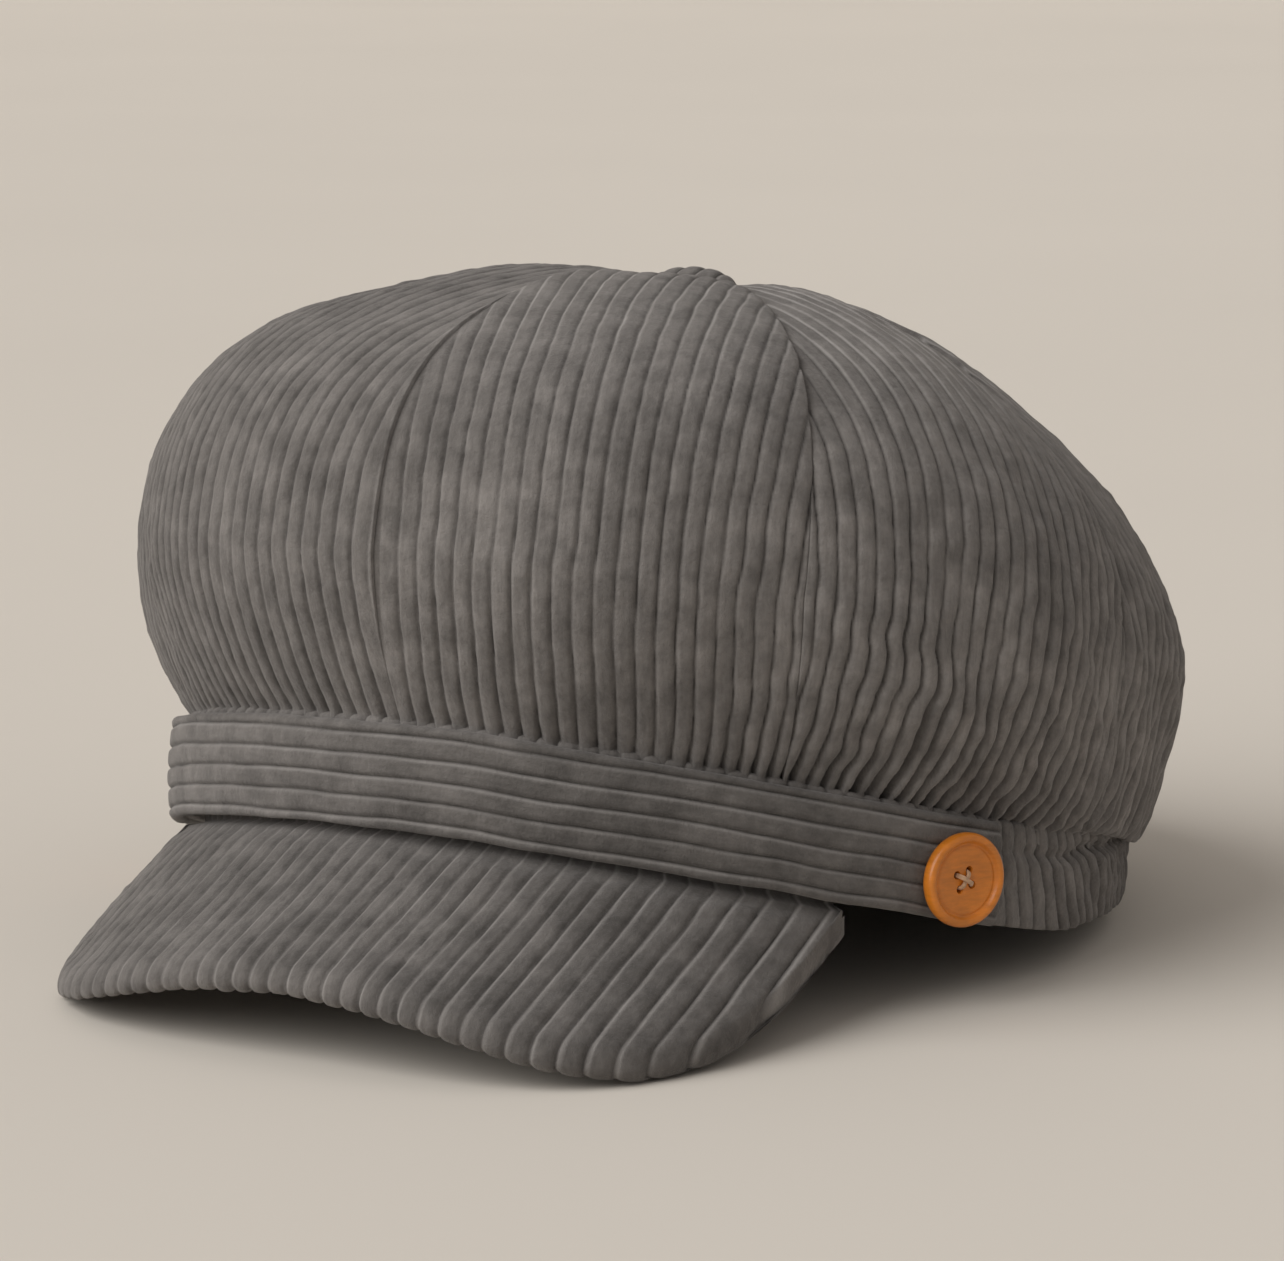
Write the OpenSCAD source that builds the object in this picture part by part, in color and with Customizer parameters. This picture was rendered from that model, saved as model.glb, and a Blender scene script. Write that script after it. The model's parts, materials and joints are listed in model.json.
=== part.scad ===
// Newsboy cap: an eight-panel corduroy crown on a headband, with a stiffened peak,
// a strap across the front held by two sewn buttons, and a covered button on top.
// Millimetres. The cap is drawn level, with the head opening's centre at the origin and
// the peak towards -Y, and at_rest() then sets it down on a table at z = 0, where it
// stands on the two low points of the peak's edge and on the back of the headband.

/* [Head opening] */
// Half the headband's outside width, ear to ear
half_width = 90; // [86:0.5:94]
// Half the headband's outside length, brow to nape
half_length = 95; // [91:0.5:99]
// Height of the headband
band_h = 20; // [19:0.5:24]
// How far the front of the headband arches up over the peak
arch_rise = 20; // [12:0.5:22]
// How sharply the arch grows towards the front
arch_power = 1.3; // [1.2:0.05:1.8]
// Tilt of the head opening when the cap stands on its peak and the back of its headband
tilt = 4.5; // [3:0.1:6]

/* [Crown] */
// Height of the crown's centre above the headband's lower edge
crown_h = 119; // [110:1:126]
// Crown's greatest radius as a share of the headband's
belly = 1.11; // [1.08:0.01:1.16]
// Height of the widest place, halfway between front and back
belly_h = 53; // [48:1:58]
// How much higher the widest place is at the front, and lower at the back
belly_swing = 19; // [12:1:20]
// Squareness of the crown's shoulder at the back
shoulder_back = 1.25; // [1.2:0.05:1.6]
// Squareness of the crown's shoulder at the front
shoulder_front = 3.05; // [2:0.05:3.2]
// How far the crown's centre lies behind the headband's
crown_back = 6.5; // [0:0.5:10]
// How far each panel swells out between its seams
puff = 3; // [1:0.5:4]
// Depth of the dimple under the top button
dimple = 6.5; // [4:0.5:8]
// Thickness of the corduroy
cord_t = 1.8; // [1.4:0.1:2]

/* [Peak] */
// Length of the peak in front of the headband
peak_len = 37.5; // [34:0.5:44]
// Half the width of the peak where it meets the headband
peak_half = 71.5; // [68:0.5:76]
// Squareness of the peak's outline
peak_square = 3.1; // [2.4:0.05:3.6]
// Slope of the peak at its middle
peak_slope = 27.2; // [25:0.1:30]
// Extra slope at the peak's sides
peak_slope_side = 1; // [0:0.5:5]
// Thickness of the peak's board
board_t = 1.4; // [1:0.1:1.8]

/* [Strap and side buttons] */
// Height of the strap
strap_h = 19; // [16:0.5:19]
// Place of each side button, as an angle round from the strap's middle
button_at = 72.75; // [70:0.25:74]
// How far the strap's middle lies round from the front, towards the wearer's right
strap_turn = 6.25; // [0:0.25:6.5]
// Diameter of a side button
button_d = 17.5; // [15:0.5:18]
// Thickness of a side button
button_t = 3.8; // [3:0.1:4.5]

/* [Top button] */
// Diameter of the covered button
top_d = 17; // [14:0.5:20]
// Height of the covered button
top_h = 5; // [4:0.5:7]

/* [Hidden] */
panel_count = 8;
panel_span = 360 / panel_count;
seam_gap = 0.1;          // half the gap between neighbouring panels, in degrees
around = 8;              // facets across a panel
upward_low = 5;          // facets from the headband to the widest place
upward_high = 12;        // facets from the widest place to the centre
centre_r = 3.6;          // radius of the hole where the panels meet
lining_t = 0.6;
lining_in = 3.4;         // how far the lining hangs inside the crown's outer face
cover_t = 1.6;           // corduroy where it is stretched over the peak's board
slip = 0.1;              // gap between layers that lie on each other
slump = 4;               // how far the back of the crown sags over the headband
fullness = 0.45;         // how much fuller the crown's underside is at the back
band_t = 2;
interlining_t = 0.5;
interlining_in = band_t + slip;
sweat_in = 5.4;          // outer face of the sweatband, inside the headband's face
sweat_t = 1.2;
sweat_h = 24;
sweat_z = 0.5;
strap_t = 2.2;
strap_z = 0;
strap_end = 79.75;         // strap's end, as an angle round from its middle
strap_pocket = 0.6;      // hollow inside the strap, for its interlining
strap_core = 0.4;        // thickness of the strap's interlining
flange_in = 3.3;         // peak's sewing flange, inside the headband's face
flange_t = 1;
flange_h = 5;
peak_drop = 1.8;         // gap under the headband that lets the peak tip
peak_pos = [for (i = [-20 : 20]) 4.45 * i];
lip = 4;                 // width of the top cover's turned-under edge
edge_round = 1.5;        // how far in from its edge the peak starts to round over
thread_r = 0.45;
hole_r = 0.65;
hole_pitch = 2.8;
shank_r = 1.1;
shank_hole_r = 1.5;
shank_reach = 8;         // how far in from the headband's face the shank's hole starts
knot_t = 0.8;
knot_r = 2;
top_gap = 1.9;           // top button's underside over the floor of the dimple
top_knot = 3.5;          // how far the top knot hangs inside the lining at the centre
top_wall = 1.3;          // thickness of the cloth drawn over the top button's shell
shell_wall = 0.6;
fine = 96;
facet_angle = 3.75;      // angle between the facets of the headband's oval

// ---- geometry shared by the sewn shells -------------------------------------------

// A point on the headband's oval, an angle t round from the front towards the wearer's
// left, moved out by off
function oval(t, off = 0) = [(half_width + off) * sin(t), -(half_length + off) * cos(t)];

// Rise of the headband's lower edge at a distance y behind its centre: none in the back
// half, and growing towards the front
function arch(y) = arch_rise * pow(max(0, -y) / half_length, arch_power);

// Height of the crown's widest place, and squareness of its shoulder, at angle t
function widest(t) = belly_h + belly_swing * cos(t);
function shoulder(t) = shoulder_back + (shoulder_front - shoulder_back) * pow((1 + cos(t)) / 2, 1.5);

// A point on the crown: t round from the front, s from 0 at the headband to 1 at the
// widest place and 2 at the centre, moved out from the surface by off
function crown_point(t, s, off) =
    let (
        low = min(s, 1) * 90,
        high = max(s - 1, 0) * acos(centre_r / (half_width * belly)),
        n = shoulder(t),
        swell = puff * pow(abs(sin(panel_count / 2 * t)), 0.7) * sin(low) * pow(cos(high), 0.6),
        d = off + swell,
        bulge = pow(sin(low), 1 - fullness * (1 - cos(t)) / 2),
        k = s < 1 ? 1 + (belly - 1) * bulge : belly * cos(high),
        sag = slump * (1 - cos(t)) / 2 * sin(2 * low),
        rise = pow(1 - pow(cos(high), n), 1 / n),
        dent = dimple * exp(-pow(k * half_width / 20, 2)),
        base = band_h + slip + arch(oval(t)[1]),
        z_low = base + (widest(t) - base) * low / 90 - sag,
        z = s < 1 ? z_low : widest(t) + (crown_h - widest(t)) * rise - dent
    )
    [
        (half_width * k + d * cos(high)) * sin(t),
        -(half_length * k + d * cos(high)) * cos(t) + crown_back * (s < 1 ? 0 : rise),
        z + d * sin(high)
    ];

// Closed solid between two grids of points that have the same rows and columns
module sheet(outer, inner) {
    rows = len(outer);
    cols = len(outer[0]);
    function at(side, i, j) = (side * rows + i) * cols + j;
    function quad(a, b, c, d) = [[a, b, c], [a, c, d]];
    points = concat([for (row = outer) each row], [for (row = inner) each row]);
    skins = [
        for (i = [0 : rows - 2], j = [0 : cols - 2])
            each concat(
                quad(at(0, i, j), at(0, i, j + 1), at(0, i + 1, j + 1), at(0, i + 1, j)),
                quad(at(1, i, j), at(1, i + 1, j), at(1, i + 1, j + 1), at(1, i, j + 1))
            )
    ];
    ends = [
        for (j = [0 : cols - 2])
            each concat(
                quad(at(0, 0, j), at(1, 0, j), at(1, 0, j + 1), at(0, 0, j + 1)),
                quad(at(0, rows - 1, j), at(0, rows - 1, j + 1),
                     at(1, rows - 1, j + 1), at(1, rows - 1, j))
            )
    ];
    edges = [
        for (i = [0 : rows - 2])
            each concat(
                quad(at(0, i, 0), at(0, i + 1, 0), at(1, i + 1, 0), at(1, i, 0)),
                quad(at(0, i, cols - 1), at(1, i, cols - 1),
                     at(1, i + 1, cols - 1), at(0, i + 1, cols - 1))
            )
    ];
    polyhedron(points, concat(skins, ends, edges), convexity = 6);
}

// Arched wall that follows the front of the headband's oval, between two angles
module front_wall(out, thick, z, h, from, to) {
    steps = ceil((to - from) / facet_angle);
    function face(off) = [
        for (i = [0 : steps])
            let (p = oval(from + (to - from) * i / steps, off), low = z + arch(p[1]))
            [[p[0], p[1], low], [p[0], p[1], low + h]]
    ];
    sheet(face(out), face(out - thick));
}

// Straight wall that follows the back of the headband's oval, between two angles
module back_wall(out, thick, z, h, from, to) {
    steps = ceil((to - from) / facet_angle);
    angles = [for (i = [0 : steps]) from + (to - from) * i / steps];
    inside = [for (i = [steps : -1 : 0]) oval(angles[i], out - thick)];
    translate([0, 0, z])
        linear_extrude(h)
            polygon(concat([for (t = angles) oval(t, out)], inside));
}

// Whole ring: arched in front of the ears and straight behind them
module band_ring(out, thick, z, h) {
    front_wall(out, thick, z, h, -90, 90);
    back_wall(out, thick, z, h, 90, 270);
}

// Sets the cap down on the table
module at_rest() {
    translate([0, 0, rest_lift]) rotate([-tilt, 0, 0]) children();
}

// ---- crown and lining ---------------------------------------------------------------

// One gore between two seams, number 0 just left of the front seam and counting round
module gore(number, out, thick) {
    from = number * panel_span + seam_gap;
    step = (panel_span - 2 * seam_gap) / around;
    rise = concat(
        [for (i = [0 : upward_low - 1]) i / upward_low],
        [for (i = [0 : upward_high]) 1 + i / upward_high]
    );
    sheet(
        [for (i = [0 : around]) [for (s = rise) crown_point(from + i * step, s, out)]],
        [for (i = [0 : around]) [for (s = rise) crown_point(from + i * step, s, out - thick)]]
    );
}

module crown_panel(number) {
    color("#6b6662") at_rest() gore(number, 0, cord_t);
}

module lining_panel(number) {
    color("#3c3a39") at_rest() gore(number, -lining_in, lining_t);
}

// ---- headband -----------------------------------------------------------------------

module headband_cover() {
    color("#6b6662")
        at_rest()
            difference() {
                band_ring(0, band_t, 0, band_h);
                side_button_places() shank_bore();
            }
}

module headband_interlining() {
    color("#d8d4c8")
        at_rest()
            difference() {
                band_ring(-interlining_in, interlining_t, 2, band_h - 4);
                side_button_places() shank_bore();
            }
}

module sweatband() {
    color("#2e2c2b") at_rest() band_ring(-sweat_in, sweat_t, sweat_z, sweat_h);
}

module back_elastic() {
    color("#e6e2da") at_rest() back_wall(-3.4, 1, 3, 14, 140, 220);
}

module size_label() {
    color("#ece8de") at_rest() back_wall(-sweat_in - sweat_t - 0.2, 0.4, 7, 10, 173, 187);
}

module care_label() {
    color("#f4f2ec") at_rest() back_wall(-sweat_in - sweat_t - 0.2, 0.4, 12, 32, 147, 157);
}

// ---- strap --------------------------------------------------------------------------

// Wall along the strap, drawn in from its long edges by inset and from its ends by an angle
module strap_wall(out, thick, inset, end_inset) {
    reach = strap_end - end_inset;
    front_wall(out, thick, strap_z + inset, strap_h - 2 * inset,
               -reach - strap_turn, reach - strap_turn);
}

module front_strap() {
    out = slip + strap_t;
    color("#6b6662")
        at_rest()
            difference() {
                strap_wall(out, strap_t, 0, 0);
                strap_wall(out - (strap_t - strap_pocket) / 2, strap_pocket, 1, 1);
                side_button_places() shank_bore();
            }
}

module strap_interlining() {
    color("#d8d4c8")
        at_rest()
            difference() {
                strap_wall(slip + (strap_t + strap_core) / 2, strap_core, 1.2, 1.2);
                side_button_places() shank_bore();
            }
}

// ---- peak ---------------------------------------------------------------------------

// Ruling w of the peak: where it starts at the headband, its length and its slope
function ruling_x(w) = peak_half * sign(w) * pow(abs(sin(w)), 2 / peak_square);
function root_y(x) = half_length * sqrt(1 - pow(x / half_width, 2));
function ruling_len(w) =
    let (
        x = ruling_x(w),
        corner = root_y(peak_half),
        reach = half_length + peak_len - corner
    )
    corner + reach * pow(abs(cos(w)), 2 / peak_square) - root_y(x);
function slope_tan(w) = tan(peak_slope + peak_slope_side * pow(ruling_x(w) / peak_half, 2));

// A point of the peak, f forward from the headband's face and down below the top surface
function peak_point(w, f, down) =
    let (
        x = ruling_x(w),
        root = -root_y(x),
        lower = f * slope_tan(w) + down * sqrt(1 + pow(slope_tan(w), 2))
    )
    [x, root - f, arch(root) - peak_drop - lower];

// A point of the sewing flange, a distance in from the headband's face
function flange_point(w, in, z) =
    let (t = asin(ruling_x(w) / half_width), p = oval(t, -in))
    [p[0], p[1], z + arch(-root_y(ruling_x(w)))];

peak_shares = [0, 0.2, 0.4, 0.6, 0.8, 1];
peak_t = 2 * cover_t + board_t + 2 * slip;

// Height of a point over the head opening's centre once the cap is tilted
function tilted_z(p) = p[2] * cos(tilt) - p[1] * sin(tilt);

// The cap rests on the back of its headband and on the two low points of the peak's edge
peak_low = min([for (w = peak_pos) tilted_z(peak_point(w, ruling_len(w) - edge_round, peak_t))]);
rest_lift = max(half_length * sin(tilt), -peak_low);

module peak_top_cover() {
    outer = [
        for (w = peak_pos)
            let (l = ruling_len(w))
            concat(
                [
                    flange_point(w, flange_in, flange_h),
                    flange_point(w, flange_in, -peak_drop)
                ],
                [for (k = peak_shares) peak_point(w, k * (l - edge_round), 0)],
                [peak_point(w, l, peak_t * 0.3), peak_point(w, l, peak_t * 0.7)],
                [peak_point(w, l - edge_round, peak_t), peak_point(w, l - min(lip, l / 2), peak_t)]
            )
    ];
    inner = [
        for (w = peak_pos)
            let (l = ruling_len(w))
            concat(
                [
                    flange_point(w, flange_in + flange_t, flange_h),
                    flange_point(w, flange_in + flange_t, -peak_drop - cover_t)
                ],
                [for (k = peak_shares) peak_point(w, k * (l - edge_round - 0.1), cover_t)],
                [
                    peak_point(w, l - edge_round, cover_t + 0.1),
                    peak_point(w, l - edge_round, peak_t - cover_t - 0.1)
                ],
                [
                    peak_point(w, l - edge_round - 0.1, peak_t - cover_t),
                    peak_point(w, l - min(lip, l / 2), peak_t - cover_t)
                ]
            )
    ];
    color("#6b6662") at_rest() sheet(outer, inner);
}

// A layer of the peak between two depths, from one distance forward to another
module peak_layer(top, bottom, start, stop) {
    function row(down) = [
        for (w = peak_pos)
            let (l = ruling_len(w), far = l - min(stop, l / 2 + stop / 4))
            [for (k = peak_shares) peak_point(w, start + k * (far - start), down)]
    ];
    sheet(row(top), row(bottom));
}

module peak_board() {
    color("#f0eee8")
        at_rest()
            peak_layer(cover_t + slip, cover_t + slip + board_t, 0.5, 1.8);
}

module peak_under_cover() {
    color("#5d5955")
        at_rest()
            peak_layer(peak_t - cover_t + 0.05, peak_t - 0.05, -1.5, lip + 0.3);
}

// ---- side buttons -------------------------------------------------------------------

button_low = 1.5;        // how far the buttons sit below the strap's middle
button_toe = 3;          // how far each button faces forward of square to the headband
button_out = slip + strap_t + 0.5;

// Puts its child at one side button's place, with +Z out along the button's axis
module side_button_place(side) {
    t = side * button_at - strap_turn;
    p = oval(t);
    facing = atan2(sin(t) / half_width, cos(t) / half_length) - side * button_toe;
    translate([p[0], p[1], strap_z + strap_h / 2 - button_low + arch(p[1])])
        rotate([90, 0, facing])
            children();
}

module side_button_places() {
    side_button_place(1) children();
    side_button_place(-1) children();
}

module shank_bore() {
    translate([0, 0, -shank_reach])
        cylinder(r = shank_hole_r, h = shank_reach + 2 * button_out, $fn = fine);
}

module at_thread_holes() {
    for (turn = [45 : 90 : 315])
        rotate([0, 0, turn]) translate([hole_pitch / sqrt(2), 0, 0]) children();
}

// A dished button with a rounded rim and four thread holes
module side_button(side) {
    r = button_d / 2;
    dish = r * 0.76;
    color("#c4762f")
        at_rest()
            side_button_place(side)
                translate([0, 0, button_out])
                    difference() {
                        rotate_extrude($fn = fine)
                            polygon([
                                [0, 0], [r * 0.72, 0], [r * 0.93, button_t * 0.25],
                                [r, button_t * 0.55], [r * 0.97, button_t * 0.85],
                                [r * 0.88, button_t], [dish, button_t * 0.93],
                                [dish * 0.93, button_t * 0.7], [0, button_t * 0.62]
                            ]);
                        at_thread_holes()
                            translate([0, 0, -1])
                                cylinder(r = hole_r, h = button_t + 2, $fn = fine);
                    }
}

// Crossed stitches over the face, four legs through the holes, the shank and the knot
module side_button_thread(side) {
    face = button_t * 0.62;
    cross = hole_pitch * sqrt(2);
    bar_r = thread_r * 0.8;
    knot_z = -interlining_in - interlining_t - knot_t - 0.3;
    color("#c79a72")
        at_rest()
            side_button_place(side) {
                translate([0, 0, button_out]) {
                    at_thread_holes()
                        translate([0, 0, -0.3])
                            cylinder(r = thread_r, h = face + 0.7, $fn = 24);
                    for (turn = [45, 135])
                        rotate([0, 0, turn])
                            translate([-cross / 2, -bar_r, face + 0.1])
                                cube([cross, 2 * bar_r, 0.6]);
                }
                translate([0, 0, button_out - 0.4])
                    cylinder(r = hole_pitch / sqrt(2) + thread_r + 0.2, h = 0.3, $fn = fine);
                translate([0, 0, knot_z + knot_t / 2])
                    cylinder(r = shank_r, h = button_out - knot_z - knot_t / 2 - 0.3, $fn = fine);
                translate([0, 0, knot_z]) cylinder(r = knot_r, h = knot_t, $fn = fine);
            }
}

// ---- top button ---------------------------------------------------------------------

module top_button_place() {
    at_rest() translate([0, crown_back, crown_h - dimple + top_gap]) children();
}

module dome(r, h) {
    rotate_extrude($fn = fine)
        polygon([
            [0, 0], [r * 0.9, 0], [r, h * 0.14], [r, h * 0.3], [r * 0.93, h * 0.56],
            [r * 0.78, h * 0.78], [r * 0.55, h * 0.92], [r * 0.28, h * 0.985], [0, h]
        ]);
}

module top_button_cover() {
    color("#6b6662")
        top_button_place()
            difference() {
                dome(top_d / 2, top_h);
                translate([0, 0, -slip]) dome(top_d / 2 - top_wall, top_h - top_wall);
            }
}

module top_button_shell() {
    shell_r = top_d / 2 - top_wall - slip;
    shell_h = top_h - top_wall - 2 * slip;
    color("#b8b8bc")
        top_button_place()
            difference() {
                dome(shell_r, shell_h);
                translate([0, 0, -slip]) dome(shell_r - shell_wall, shell_h - shell_wall);
            }
}

module top_button_back() {
    color("#b8b8bc")
        top_button_place()
            difference() {
                translate([0, 0, 2 * slip]) cylinder(r = top_d / 2 - 2.4, h = 0.8, $fn = fine);
                cylinder(r = 1.6, h = 2, $fn = fine);
            }
}

// Bar on the back plate, the shank through the crown's centre and the knot inside
module top_button_thread() {
    inside = lining_in + lining_t + top_knot;
    color("#4a4643")
        top_button_place() {
            translate([0, 0, 1.1]) cylinder(r = 2.6, h = 0.6, $fn = fine);
            translate([0, 0, -inside]) cylinder(r = 1.3, h = inside + 1.5, $fn = fine);
            translate([0, 0, -inside - knot_t + 0.2]) cylinder(r = 4.5, h = knot_t, $fn = fine);
        }
}

crown_panel(0);  // panel_front_left
crown_panel(1);  // panel_temple_left
crown_panel(2);  // panel_side_left
crown_panel(3);  // panel_back_left
crown_panel(4);  // panel_back_right
crown_panel(5);  // panel_side_right
crown_panel(6);  // panel_temple_right
crown_panel(7);  // panel_front_right
lining_panel(0);  // lining_front_left
lining_panel(1);  // lining_temple_left
lining_panel(2);  // lining_side_left
lining_panel(3);  // lining_back_left
lining_panel(4);  // lining_back_right
lining_panel(5);  // lining_side_right
lining_panel(6);  // lining_temple_right
lining_panel(7);  // lining_front_right
headband_cover();
headband_interlining();
sweatband();
back_elastic();
size_label();
care_label();
front_strap();
strap_interlining();
peak_top_cover();
peak_board();
peak_under_cover();
side_button(1);  // side_button_left
side_button_thread(1);  // side_button_thread_left
side_button(-1);  // side_button_right
side_button_thread(-1);  // side_button_thread_right
top_button_cover();
top_button_shell();
top_button_back();
top_button_thread();
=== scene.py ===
import json
import math

import bpy
import numpy as np
from mathutils import Matrix, Vector


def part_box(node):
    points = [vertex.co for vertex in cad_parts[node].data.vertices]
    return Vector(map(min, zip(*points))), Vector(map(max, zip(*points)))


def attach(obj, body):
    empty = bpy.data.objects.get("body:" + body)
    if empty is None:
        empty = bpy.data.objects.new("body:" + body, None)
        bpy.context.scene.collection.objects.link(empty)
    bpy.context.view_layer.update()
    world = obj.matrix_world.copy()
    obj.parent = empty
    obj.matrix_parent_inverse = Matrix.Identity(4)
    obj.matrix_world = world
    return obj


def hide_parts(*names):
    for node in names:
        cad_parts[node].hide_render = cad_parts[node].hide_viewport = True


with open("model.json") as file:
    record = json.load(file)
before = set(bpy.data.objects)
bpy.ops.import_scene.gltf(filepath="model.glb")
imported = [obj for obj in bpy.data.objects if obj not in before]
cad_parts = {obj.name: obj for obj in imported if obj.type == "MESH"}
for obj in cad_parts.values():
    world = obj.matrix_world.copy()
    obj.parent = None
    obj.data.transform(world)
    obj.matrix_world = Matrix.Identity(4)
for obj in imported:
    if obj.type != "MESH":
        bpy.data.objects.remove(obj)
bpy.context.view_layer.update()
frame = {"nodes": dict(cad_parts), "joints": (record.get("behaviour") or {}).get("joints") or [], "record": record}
record = frame["record"]

# Lengths below are millimetres in the cap's own level frame, with the middle of the head
# opening at the origin; rest() stands a point on the table and turns it into metres.
MM = 0.001
opening = next(m for m in record["mounts"] if m["name"] == "head_opening")
TILT = math.atan2(-opening["axis"][1], -opening["axis"][2])
LIFT = opening["pos_m"][2] / MM
joints = {j["name"]: j for j in frame["joints"]}


def rest(p):
    """Points of the level cap, as the cap stands on the table, in metres."""
    p = np.asarray(p, float)
    c, s = math.cos(TILT), math.sin(TILT)
    y, z = p[..., 1], p[..., 2]
    return np.stack([p[..., 0], y * c + z * s, z * c - y * s + LIFT], -1) * MM


# ---- sizes ----------------------------------------------------------------------------
HALF_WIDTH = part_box("headband_cover")[1].x / MM
BAND_H = 20.0
HALF_LENGTH = (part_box("headband_cover")[1].y / MM - BAND_H * math.sin(TILT)) / math.cos(TILT)
ARCH_RISE, ARCH_POWER = 20.0, 1.3
CROWN_H, BELLY, BELLY_H, BELLY_SWING = 119.0, 1.11, 53.0, 19.0
SHOULDER_BACK, SHOULDER_FRONT = 1.25, 3.05
CROWN_BACK, PUFF, DIMPLE, DIMPLE_R = 6.5, 3.0, 6.5, 20.0
CENTRE_R, SLUMP, FULLNESS, SLIP = 3.6, 4.0, 0.45, 0.1
SEAM_SOFT = 0.06  # how softly the panels dip at their seams
GORES = 8
LINING_IN, LINING_T = 3.4, 0.6
MIDDLE = np.array([0.0, 0.0, 50.0])  # a point inside the crown
UNDER_PEAK = np.array([0.0, -70.0, -30.0])
OVER_PEAK = np.array([0.0, -70.0, 60.0])
WALE = 3.8  # corduroy's pitch, groove to groove
RIDGE = 0.68  # height of a wale over its groove
BAND_OUT, BAND_IN, BAND_EDGE = 0.25, -1.9, 0.15
STRAP_H, STRAP_OUT, STRAP_IN, STRAP_END, STRAP_TURN = 19.0, 2.3, 0.15, 79.75, 6.25
STRAP_RIB, STRAP_WALE = 1.9, 3.9  # rolled rib along the lower edge, and the wales above it
PEAK_HALF, PEAK_LEN, PEAK_SQUARE = 71.5, 37.5, 3.1
PEAK_SLOPE, PEAK_SLOPE_SIDE, PEAK_DROP, PEAK_T = 27.2, 1.0, 1.8, 4.8
PEAK_LIP, FLANGE_IN, FLANGE_H = 4.0, 3.3, 5.0
SWEAT_IN, SWEAT_T, SWEAT_Z, SWEAT_H = 5.4, 1.2, 0.5, 24.0
LABEL_T, LABEL_LIFT = 0.4, 0.35
BOARD_T, BOARD_SIDE, BOARD_FRONT = 1.2, 2.8, 4.0
BUTTON_D, BUTTON_T, BUTTON_OUT, HOLE_PITCH, HOLE_R = 17.5, 3.8, 2.8, 2.8, 0.65
HOLE_REACH = HOLE_PITCH / math.sqrt(2)  # from the button's middle to each hole
THREAD_R, STITCH_R = 0.27, 0.17
TOP_R, TOP_H = 8.5, 5.0


# ---- helpers --------------------------------------------------------------------------
def noise(x, y, seed):
    """Smooth noise between -1 and 1 with a feature about every unit, the same every time."""
    size = 64
    grid = np.random.default_rng(seed).uniform(-1, 1, (size, size))
    x, y = np.broadcast_arrays(np.asarray(x, float), np.asarray(y, float))
    xi, yi = np.floor(x).astype(int), np.floor(y).astype(int)
    fx, fy = x - xi, y - yi
    fx, fy = fx * fx * (3 - 2 * fx), fy * fy * (3 - 2 * fy)
    a = grid[xi % size, yi % size] * (1 - fx) + grid[(xi + 1) % size, yi % size] * fx
    b = grid[xi % size, (yi + 1) % size] * (1 - fx) + grid[(xi + 1) % size, (yi + 1) % size] * fx
    return a * (1 - fy) + b * fy


def step(x, low, high):
    """0 below low, 1 above high, smooth in between."""
    k = np.clip((x - low) / (high - low), 0, 1)
    return k * k * (3 - 2 * k)


def hump(x, centre, width):
    """1 at the centre, falling softly to 0 either side."""
    return np.exp(-(((x - centre) / width) ** 2))


def wales(u, v, seed, crush=1.0, deep=1.0):
    """Corduroy ridges at distance u across the cloth and v along it: (height above the
    floor of the grooves, painted shade in the grooves, phase from -0.5 to 0.5 across the wale)."""
    n = np.round(u / WALE)
    x = u / WALE - n
    depth = 1 + 0.35 * noise(n * 5.17, v / 15, seed + 3)
    height = RIDGE * (1 - deep * depth * np.abs(2 * x) ** 4.0)
    body = np.clip(1 - (2 * x) ** 2, 0, 1)
    beads = 0.17 * noise(n * 7.31, v / 3.6, seed) + 0.11 * noise(n * 3.7 + 0.5, v / 1.7, seed + 1)
    matted = 0.22 * noise(u / 9, v / 11, seed + 2)
    height = height + body * crush * (beads + matted)
    return height, np.clip(deep * depth * np.abs(2 * x) ** 7, 0, 1.6), x


def edge_light(phase, strength):
    """The light caught by the pile along one edge of each wale."""
    from_edge = (phase + 0.39 + 0.5) % 1 - 0.5
    return strength * hump(from_edge, 0, 0.07)


def run_along(p, axis):
    """Distance run along the rows (0) or columns (1) of a grid of points, from 0."""
    steps = np.linalg.norm(np.diff(p, axis=axis), axis=2)
    return np.concatenate([np.zeros_like(np.take(steps, [0], axis)), np.cumsum(steps, axis=axis)], axis)


def normals(p):
    """Unit normals of a grid of points, by differences between neighbours."""
    n = np.cross(np.gradient(p, axis=0), np.gradient(p, axis=1))
    return n / np.maximum(np.linalg.norm(n, axis=2, keepdims=True), 1e-12)


def outward(p, n, centre):
    """n, turned to point away from centre on the whole."""
    return n if ((p - centre) * n).sum() > 0 else -n


def make_mesh(name, points, faces, material, uv=None, attributes=None, smooth=True):
    """A mesh object from points in metres, with its UVs and point attributes."""
    mesh = bpy.data.meshes.new(name)
    mesh.from_pydata([], [], [])
    count = len(points)
    mesh.vertices.add(count)
    mesh.vertices.foreach_set("co", np.asarray(points, np.float32).ravel())
    faces = np.asarray(faces, np.int32)
    mesh.loops.add(faces.size)
    mesh.loops.foreach_set("vertex_index", faces.ravel())
    mesh.polygons.add(len(faces))
    sides = faces.shape[1]
    mesh.polygons.foreach_set("loop_start", np.arange(0, faces.size, sides, dtype=np.int32))
    mesh.polygons.foreach_set("loop_total", np.full(len(faces), sides, np.int32))
    mesh.polygons.foreach_set("use_smooth", np.full(len(faces), smooth))
    mesh.update(calc_edges=True)
    if uv is not None:
        layer = mesh.uv_layers.new(name="cloth")
        layer.data.foreach_set("uv", np.asarray(uv, np.float32)[faces.ravel()].ravel())
    for key, values in (attributes or {}).items():
        a = mesh.attributes.new(key, "FLOAT", "POINT")
        a.data.foreach_set("value", np.asarray(values, np.float32).ravel())
    mesh.validate()
    obj = bpy.data.objects.new(name, mesh)
    bpy.context.scene.collection.objects.link(obj)
    mesh.materials.append(material)
    return obj


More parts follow.
